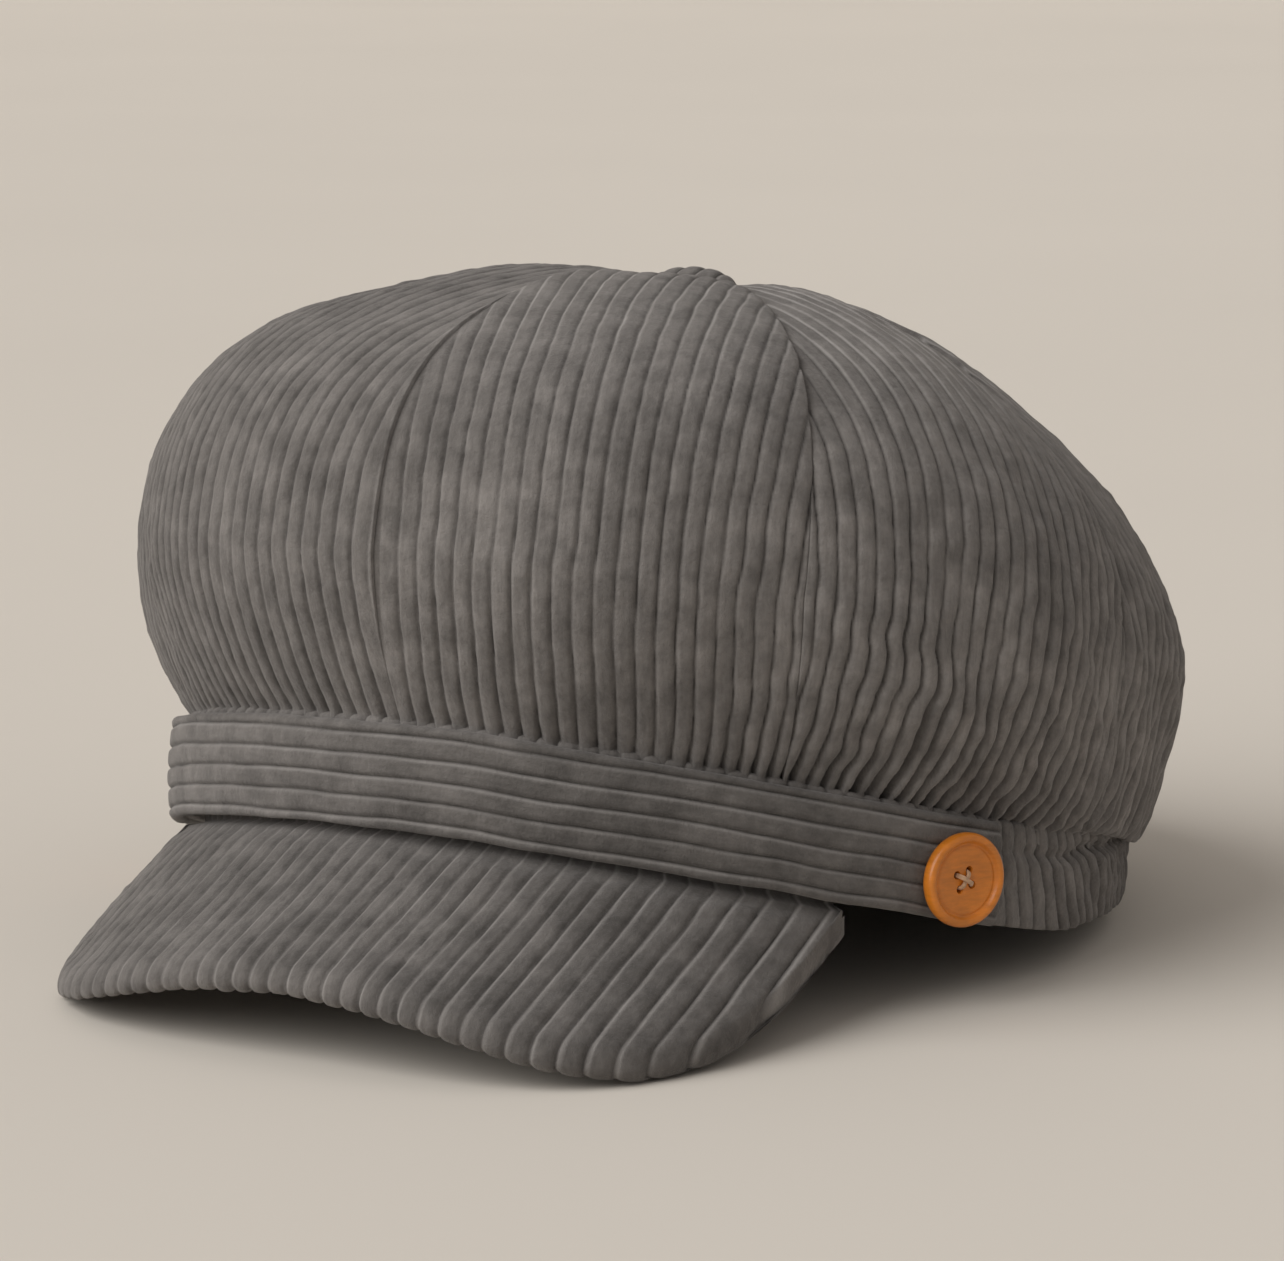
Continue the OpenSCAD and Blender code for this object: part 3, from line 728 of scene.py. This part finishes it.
def sweatband_stitches():
    """Two rows of machine stitches that hold the sweatband, on its inner face."""
    lines = []
    t = ring(230, -math.pi, math.pi)[0]
    for z in (SWEAT_Z + 2.2, SWEAT_Z + SWEAT_H - 2.5):
        for a, b in zip(t[:-1], t[1:]):
            k = np.linspace(0.12, 0.88, 6)
            angle = a + (b - a) * k
            rise = 0.28 * np.sin((k - 0.12) / 0.76 * math.pi)
            g = section_points(angle, (-SWEAT_IN - SWEAT_T - 0.02 - rise)[:, None], np.full((6, 1), z))
            lines.append(g[:, 0])
    obj = many_tubes("sweatband_stitches", lines, STITCH_R, GREY_THREAD)
    finish_piece(obj, "cap", "grey_thread")


def label(name, node, low, high, t0, t1, fold):
    """A blank woven label sewn to the sweatband's inside."""
    cols, rows = 40, 60
    t = np.radians(np.linspace(t0, t1, cols))
    z = np.linspace(low, high, rows)
    k = (z - low) / (high - low)
    off = -SWEAT_IN - SWEAT_T - LABEL_LIFT - fold * np.sin(k * math.pi * 0.9) ** 2
    curl = 0.25 * noise(np.linspace(0, 3, cols)[None, :], k[:, None] * 2, 71)
    p = section_points(t, (off[:, None] + curl).T, (z[:, None] + 0 * t[None, :]).T)
    u = np.linspace(0, 20, cols)[:, None] + 0 * z[None, :]
    v = z[None, :] + 0 * u
    obj = grid_object(name, p, LABEL, u, v)
    body = obj.modifiers.new("thickness", "SOLIDIFY")
    body.thickness, body.offset = LABEL_T * MM, 0.0
    finish_piece(obj, "cap", "label_cloth", node)


# ---- peak -------------------------------------------------------------------------------
def peak_columns(count):
    """Rulings of the peak, spaced evenly along its edge."""
    w = np.linspace(-math.pi / 2, math.pi / 2, 20001)
    x = PEAK_HALF * np.sign(w) * np.abs(np.sin(w)) ** (2 / PEAK_SQUARE)
    root = HALF_LENGTH * np.sqrt(1 - (x / HALF_WIDTH) ** 2)
    corner = HALF_LENGTH * math.sqrt(1 - (PEAK_HALF / HALF_WIDTH) ** 2)
    reach = HALF_LENGTH + PEAK_LEN - corner
    y = corner + reach * np.abs(np.cos(w)) ** (2 / PEAK_SQUARE)
    run = np.concatenate([[0], np.cumsum(np.hypot(np.diff(x), np.diff(y)))])
    at = np.linspace(run[0], run[-1], count)
    x, root, y = (np.interp(at, run, a) for a in (x, root, y))
    return x, root, np.maximum(y - root, 0.02)


def peak_at(x, root, f, down):
    """Points f out from the band along the peak's rulings and down below its upper face."""
    tan = np.tan(np.radians(PEAK_SLOPE + PEAK_SLOPE_SIDE * (x / PEAK_HALF) ** 2))
    z = arch(-root) - PEAK_DROP - f * tan - down * np.sqrt(1 + tan * tan)
    return np.stack([x + 0 * f, -root - f, z], -1)


def peak_thick(length):
    """The peak's thickness, thinner where its edge runs out at the two ends."""
    return PEAK_T * (0.35 + 0.65 * step(length, 0, 7))


def peak_cloth(x, f, seed):
    """Wales of the peak's cloth, x across and f along: (distance across the cloth, ridge
    height, painted shade in the grooves, phase)."""
    waver = 0.30 * noise(x / 14, f / 16, seed) + 0.15 * noise(x / 5, f / 6, seed + 1)
    u = x + waver
    ridge, painted_shade, phase = wales(u, f, seed + 2)
    return u, ridge, painted_shade, phase


def peak_top():
    """The upper cloth, turned down round the peak's edge and in beneath it."""
    x, root, length = peak_columns(560)
    rr = np.minimum(PEAK_T / 2 + 0.2, 0.45 * length)[None, :]
    thick = peak_thick(length)[None, :]
    turn = np.linspace(0, math.pi, 17)[:, None]
    flat = np.linspace(0, 1, 60)[:-1, None] * (length - rr)
    f = np.concatenate([flat, length - rr + rr * np.sin(turn),
                        np.maximum(length - rr - np.linspace(0.5, 2.4, 4)[:, None], 0 * length)])
    down = np.concatenate([0 * flat, thick / 2 * (1 - np.cos(turn)), np.repeat(thick, 4, 0)])
    xx, rt = x[None, :] + 0 * f, root[None, :] + 0 * f
    p = peak_at(xx, rt, f, down)
    n = outward(p, normals(p), UNDER_PEAK)
    path = run_along(p, 0)
    u, ridge, painted_shade, phase = peak_cloth(xx, path, 80)
    soft = 0.35 * noise(xx / 26, path / 22, 85)
    edge = step(length, 1.5, 8)[None, :]
    under = step(down / thick, 0.35, 0.85)
    push = (ridge - (0.3 + 0.7 * under) * RIDGE + soft * (1 - under)) * edge
    at_root = (1 - step(path, 1, 6)) * edge
    push = push * (1 - 0.8 * at_root) - 0.3 * at_root + 0.35 * (1 - edge)
    # painted shade: the grooves shaded less, and a painted shade over the whole peak that grows towards its end at
    # +x, turned away from the light
    painted_shade = painted_shade * 0.55 + 0.28 + 0.34 * xx / PEAK_HALF
    shine = 0.38 * step(length, 4, 16)[None, :] * (1 - 0.6 * under)
    p = p + n * push[..., None]
    # sewing flange, up behind the headband
    t = np.arcsin(np.clip(x / HALF_WIDTH, -1, 1))
    fx, fy = oval(t, -FLANGE_IN)
    flange = [np.stack([fx, fy, arch(-root) + h], -1)[None] for h in (FLANGE_H, -1.2)]
    tail = peak_at(x, root, np.maximum(length - rr[0] - 2.4, 0), 0.75 * thick[0])[None]
    p = np.concatenate(flange + [p, tail])

    def grown(a):
        return np.concatenate([a[:1], a[:1], a, a[-1:]], 0)

    u, path, painted_shade, phase, shine = (grown(a) for a in (u, path, painted_shade, phase, shine))
    obj = grid_object("peak_top_cloth", p, CORD, u, path, painted_shade, phase, shine, centre=UNDER_PEAK)
    finish_piece(obj, "peak", "corduroy", "peak_top_cover")


def peak_under():
    """The lower cloth, tucked in under the upper cloth's turned edge."""
    x, root, length = peak_columns(420)
    rr = np.minimum(PEAK_LIP - 0.6, 0.5 * length)
    start = -1.5
    f = start + np.linspace(0, 1, 48)[:, None] * (np.maximum(length - rr, start + 0.3) - start)[None, :]
    xx, rt = x[None, :] + 0 * f, root[None, :] + 0 * f
    p = peak_at(xx, rt, f, peak_thick(length)[None, :] - 0.15 + 0 * f)
    n = outward(p, normals(p), OVER_PEAK)
    u, ridge, painted_shade, phase = peak_cloth(xx, f, 90)
    edge = np.linspace(0, 1, 48)[:, None]
    dip = 0.6 * hump(edge, 1, 0.0267)
    p = p + n * ((ridge - 0.75 * RIDGE) * step(length, 1.5, 8)[None, :] - dip)[..., None]
    obj = grid_object("peak_under_cloth", p, CORD, u, f, painted_shade, phase, centre=OVER_PEAK)
    finish_piece(obj, "peak", "corduroy", "peak_under_cover")


def peak_stiffener():
    """The board between the two covers."""
    x, root, length = peak_columns(240)
    inside = np.abs(x) < PEAK_HALF - BOARD_SIDE
    x, root, length = x[inside], root[inside], length[inside]
    f = 0.8 + np.linspace(0, 1, 30)[:, None] * (np.maximum(length - BOARD_FRONT, 1) - 0.8)[None, :]
    p = peak_at(x[None, :] + 0 * f, root[None, :] + 0 * f, f, peak_thick(length)[None, :] / 2 + 0 * f)
    obj = grid_object("peak_stiffener", p, BOARD, x[None, :] + 0 * f, f, centre=UNDER_PEAK)
    body = obj.modifiers.new("thickness", "SOLIDIFY")
    body.thickness, body.offset = BOARD_T * MM, 0.0
    finish_piece(obj, "peak", "peak_board", "peak_board")


# ---- buttons ----------------------------------------------------------------------------
def axes(joint, spin=0.0):
    """Matrix that puts a part drawn along +Z, in metres, on a joint's axis."""
    place = Vector(joint["pos_m"])
    z = Vector(joint["axis"]).normalized()
    x = Vector((0, 0, 1)).cross(z)
    x = (x if x.length > 0.1 else Vector((1, 0, 0)) - z * z.x).normalized()
    m = Matrix((x, z.cross(x), z)).transposed().to_4x4()
    return Matrix.Translation(place) @ m @ Matrix.Rotation(spin, 4, "Z")


def lathe(profile, sides=128):
    """Grid of points round +Z through a profile of (radius, height)."""
    profile = np.asarray(profile, float)
    a = np.linspace(0, 2 * math.pi, sides, endpoint=False)
    r, z = profile[:, 0][:, None], profile[:, 1][:, None]
    return np.stack([r * np.cos(a), r * np.sin(a), z + 0 * a], -1)


def smooth_profile(points):
    """Rounds a profile by cutting its corners three times."""
    p = np.asarray(points, float)
    for _ in range(3):
        a, b = p[:-1] * 0.75 + p[1:] * 0.25, p[:-1] * 0.25 + p[1:] * 0.75
        p = np.concatenate([p[:1], np.stack([a, b], 1).reshape(-1, 2), p[-1:]])
    return p


def apply_modifiers(obj):
    """Leaves the object with its modifiers worked into its mesh."""
    graph = bpy.context.evaluated_depsgraph_get()
    mesh = bpy.data.meshes.new_from_object(obj.evaluated_get(graph))
    old = obj.data
    obj.modifiers.clear()
    obj.data = mesh
    bpy.data.meshes.remove(old)


def button_body(matrix, hand):
    """Turned wooden button with a raised rim and four countersunk holes."""
    r, t = BUTTON_D / 2, BUTTON_T
    profile = smooth_profile([
        (0.01, 0), (r * 0.70, 0), (r * 0.90, t * 0.12), (r * 0.99, t * 0.42), (r, t * 0.72),
        (r * 0.965, t * 0.93), (r * 0.90, t), (r * 0.835, t * 0.97), (r * 0.785, t * 0.80),
        (r * 0.755, t * 0.74), (r * 0.70, t * 0.80), (r * 0.60, t * 0.76), (r * 0.3, t * 0.68),
        (0.01, t * 0.66),
    ])
    g = lathe(profile)
    g[..., 2] += BUTTON_OUT
    obj = make_mesh("button_" + hand, g.reshape(-1, 3) * MM,
                    grid_faces(*g.shape[:2], wrap_cols=True), WOOD)
    cutters = []
    for k in range(4):
        a = math.radians(45 + 90 * k)
        hole = lathe([(0.01, -1), (HOLE_R, -1), (HOLE_R, t * 0.60), (HOLE_R * 1.35, t * 0.74),
                      (HOLE_R * 1.35, t + 1), (0.01, t + 1)], 32)
        hole[..., 0] += HOLE_REACH * math.cos(a)
        hole[..., 1] += HOLE_REACH * math.sin(a)
        hole[..., 2] += BUTTON_OUT
        faces = grid_faces(*hole.shape[:2], wrap_cols=True)
        cut = make_mesh("cut", hole.reshape(-1, 3) * MM, faces, WOOD)
        m = obj.modifiers.new("hole", "BOOLEAN")
        m.operation, m.object, m.solver = "DIFFERENCE", cut, "EXACT"
        cutters.append(cut)
    bpy.context.view_layer.update()
    apply_modifiers(obj)
    for cut in cutters:
        bpy.data.objects.remove(cut)
    for poly in obj.data.polygons:
        poly.use_smooth = True
    obj.data.set_sharp_from_angle(angle=math.radians(50))
    obj.data.transform(matrix)
    finish_piece(obj, hand + "_button", "side_button", "side_button_" + hand)


def button_stitches(matrix, hand):
    """Crossed stitches of three strands, and the twisted shank behind the button."""
    lines = []
    face = BUTTON_OUT + BUTTON_T * 0.66
    for diagonal, rise in ((45, 0.35), (135, 0.8)):
        a = math.radians(diagonal)
        d, e = np.array([math.cos(a), math.sin(a)]), np.array([-math.sin(a), math.cos(a)])
        for strand in (-0.24, 0.04, 0.26):
            k = np.linspace(-1, 1, 25)
            flat = np.clip(1.06 - np.abs(k) ** 4, 0, 1)
            xy = d * (k * HOLE_REACH)[:, None] + e * (strand * (0.55 + 0.45 * k * k))[:, None]
            z = face - 1.4 + (1.4 + 0.25 + rise) * flat ** 0.6 + 0.1 * strand
            lines.append(np.concatenate([xy, z[:, None]], 1))
    for k in range(9):
        a = 2 * math.pi * k / 9
        z = np.linspace(-2.9, BUTTON_OUT + 0.3, 14)
        twist = a + z * 0.5
        rad = 0.75 + 0.25 * np.abs(np.linspace(-1, 1, 14)) ** 2
        lines.append(np.stack([rad * np.cos(twist), rad * np.sin(twist), z], -1))
    lines = [np.array([matrix @ Vector(q * MM) for q in line]) for line in lines]
    stitches = many_tubes("button_thread_" + hand, lines, THREAD_R * MM, TAN_THREAD, in_rest=True)
    finish_piece(stitches, hand + "_button", "button_thread", "side_button_thread_" + hand)


def side_button(side, hand):
    matrix = axes(joints[hand + "_button_turn"], math.radians(12 * side))
    button_body(matrix, hand)
    button_stitches(matrix, hand)


def top_button():
    """The covered button: a dome of corduroy, pleated where it is drawn round the rim."""
    matrix = axes(joints["top_button_turn"], math.radians(10))
    r, h = TOP_R, TOP_H
    rows, cols = 90, 220
    k = np.linspace(0.004, 1, rows)
    phi = k * math.pi / 2
    rad = r * np.sin(phi) ** 0.82
    z = h * (0.16 + 0.84 * np.cos(phi) ** 0.9)
    rad = np.concatenate([rad, [r * 0.985, r * 0.93, r * 0.86]])
    z = np.concatenate([z, [0.35, 0.02, 0.0]])
    a = np.linspace(0, 2 * math.pi, cols, endpoint=False)
    p = np.stack([rad[:, None] * np.cos(a), rad[:, None] * np.sin(a), z[:, None] + 0 * a], -1)
    n = outward(p, normals(p), np.zeros(3))
    x, y = p[..., 0], p[..., 1]
    ridge, painted_shade, phase = wales(x + 0.2 * noise(x / 4, y / 4, 95), y, 96)
    pleat = 0.3 * np.abs(np.sin(a * 9 + 2 * noise(a, 0.5, 97)))[None, :]
    pleat = pleat * step(np.hypot(x, y) / r, 0.86, 1.0)
    p = p + n * ((ridge - 0.55 * RIDGE) * 0.75 - pleat)[..., None]
    flip = ((p - np.array([0, 0, 1.0])) * normals(p)).sum() < 0
    faces = grid_faces(*p.shape[:2], wrap_cols=True, flip=bool(flip))
    uv = np.stack([x * MM, y * MM], -1).reshape(-1, 2)
    attributes = {"painted_shade": painted_shade, "phase": phase, "shine": edge_light(phase, 0.3)}
    obj = make_mesh("top_button_cloth", p.reshape(-1, 3) * MM, faces, CORD, uv, attributes)
    obj.data.transform(matrix)
    finish_piece(obj, "top_button", "corduroy", "top_button_cover")


# ---- build --------------------------------------------------------------------------------
SIDES = ("front", "temple", "side", "back")
ORDER = ["%s_left" % s for s in SIDES] + ["%s_right" % s for s in reversed(SIDES)]
for number, place in enumerate(ORDER):
    crown_gore(number, "panel_" + place)
    lining_gore(number, "lining_" + place)
headband()
strap()
sweatband()
sweatband_stitches()
label("size_label_cloth", "size_label", 7.0, 17.0, 173, 187, 0.1)
label("care_label_cloth", "care_label", 12.0, 44.0, 147, 157, 1.2)
peak_top()
peak_under()
peak_stiffener()
side_button(1, "left")
side_button(-1, "right")
top_button()

# the CAD nodes that stay as they are get their looks here
looks = {
    "headband_interlining": INTERLINING, "strap_interlining": INTERLINING, "back_elastic": ELASTIC,
    "top_button_shell": METAL, "top_button_back": METAL, "top_button_thread": GREY_THREAD,
}
for node_name, look in looks.items():
    data = frame["nodes"][node_name].data
    data.materials.clear()
    data.materials.append(look)

# ---- floor, light, camera -------------------------------------------------------------------
AZIMUTH, ELEVATION, DISTANCE = math.radians(30), math.radians(10.2), 1.0
LENS = 142.4
SHIFT_RIGHT, SHIFT_UP = -0.00228, 0.0484
target = Vector((0, 0, opening["pos_m"][2]))
forward = Vector((-math.sin(AZIMUTH) * math.cos(ELEVATION), math.cos(AZIMUTH) * math.cos(ELEVATION),
                  -math.sin(ELEVATION)))
right = forward.cross(Vector((0, 0, 1))).normalized()
up = right.cross(forward)

floor_mat = Nodes("floor")
clouds = floor_mat.noise(floor_mat.coords("Object", (1, 1, 1)), 2.0, 2.0)
tone = floor_mat.ramp(clouds, 0.3, 0.7, 0.985, 1.015)
floor_mat.set(Base_Color=floor_mat.shade((0.66, 0.615, 0.555), tone))
floor_mat.set(Roughness=0.85, Specular_IOR_Level=0.15)
along = Vector((-math.sin(AZIMUTH), math.cos(AZIMUTH), 0))
BEND, BEND_R = 3.8, 1.2
sweep = [(-3.0, 0.0), (BEND, 0.0)]
bend = np.linspace(0.1, math.pi / 2, 16)
sweep += [(BEND + BEND_R * math.sin(a), BEND_R * (1 - math.cos(a))) for a in bend]
sweep += [(BEND + BEND_R, 5.0)]
wide = np.linspace(-6, 6, 9)
points = np.array([[list(along * d + right * w + Vector((0, 0, h))) for w in wide] for d, h in sweep])
floor = make_mesh("floor", points.reshape(-1, 3), grid_faces(len(sweep), len(wide)), floor_mat.material)

world = bpy.data.worlds.new("studio")
bpy.context.scene.world = world
world.use_nodes = True
world.node_tree.nodes["Background"].inputs[0].default_value = (1.0, 0.955, 0.92, 1)
world.node_tree.nodes["Background"].inputs[1].default_value = 0.42


def soft_light(name, towards, strength, spread, colour):
    """Even light from a direction, with the soft shadows of a large studio box."""
    light = bpy.data.lights.new(name, "SUN")
    light.energy, light.angle, light.color = strength, math.radians(spread), colour
    obj = bpy.data.objects.new(name, light)
    bpy.context.scene.collection.objects.link(obj)
    obj.rotation_mode = "QUATERNION"
    obj.rotation_quaternion = (-towards).to_track_quat("-Z", "Y")


soft_light("key", -1.3 * right - 0.7 * along + Vector((0, 0, 1.1)), 2.45, 56, (1.0, 0.992, 0.978))

camera = bpy.data.cameras.new("camera")
camera.lens, camera.sensor_width = LENS, 36.0
eye = bpy.data.objects.new("camera", camera)
bpy.context.scene.collection.objects.link(eye)
eye.location = target - forward * DISTANCE + right * SHIFT_RIGHT + up * SHIFT_UP
eye.rotation_mode = "QUATERNION"
eye.rotation_quaternion = forward.to_track_quat("-Z", "Y")
bpy.context.scene.camera = eye
bpy.context.scene.view_settings.view_transform = "Standard"
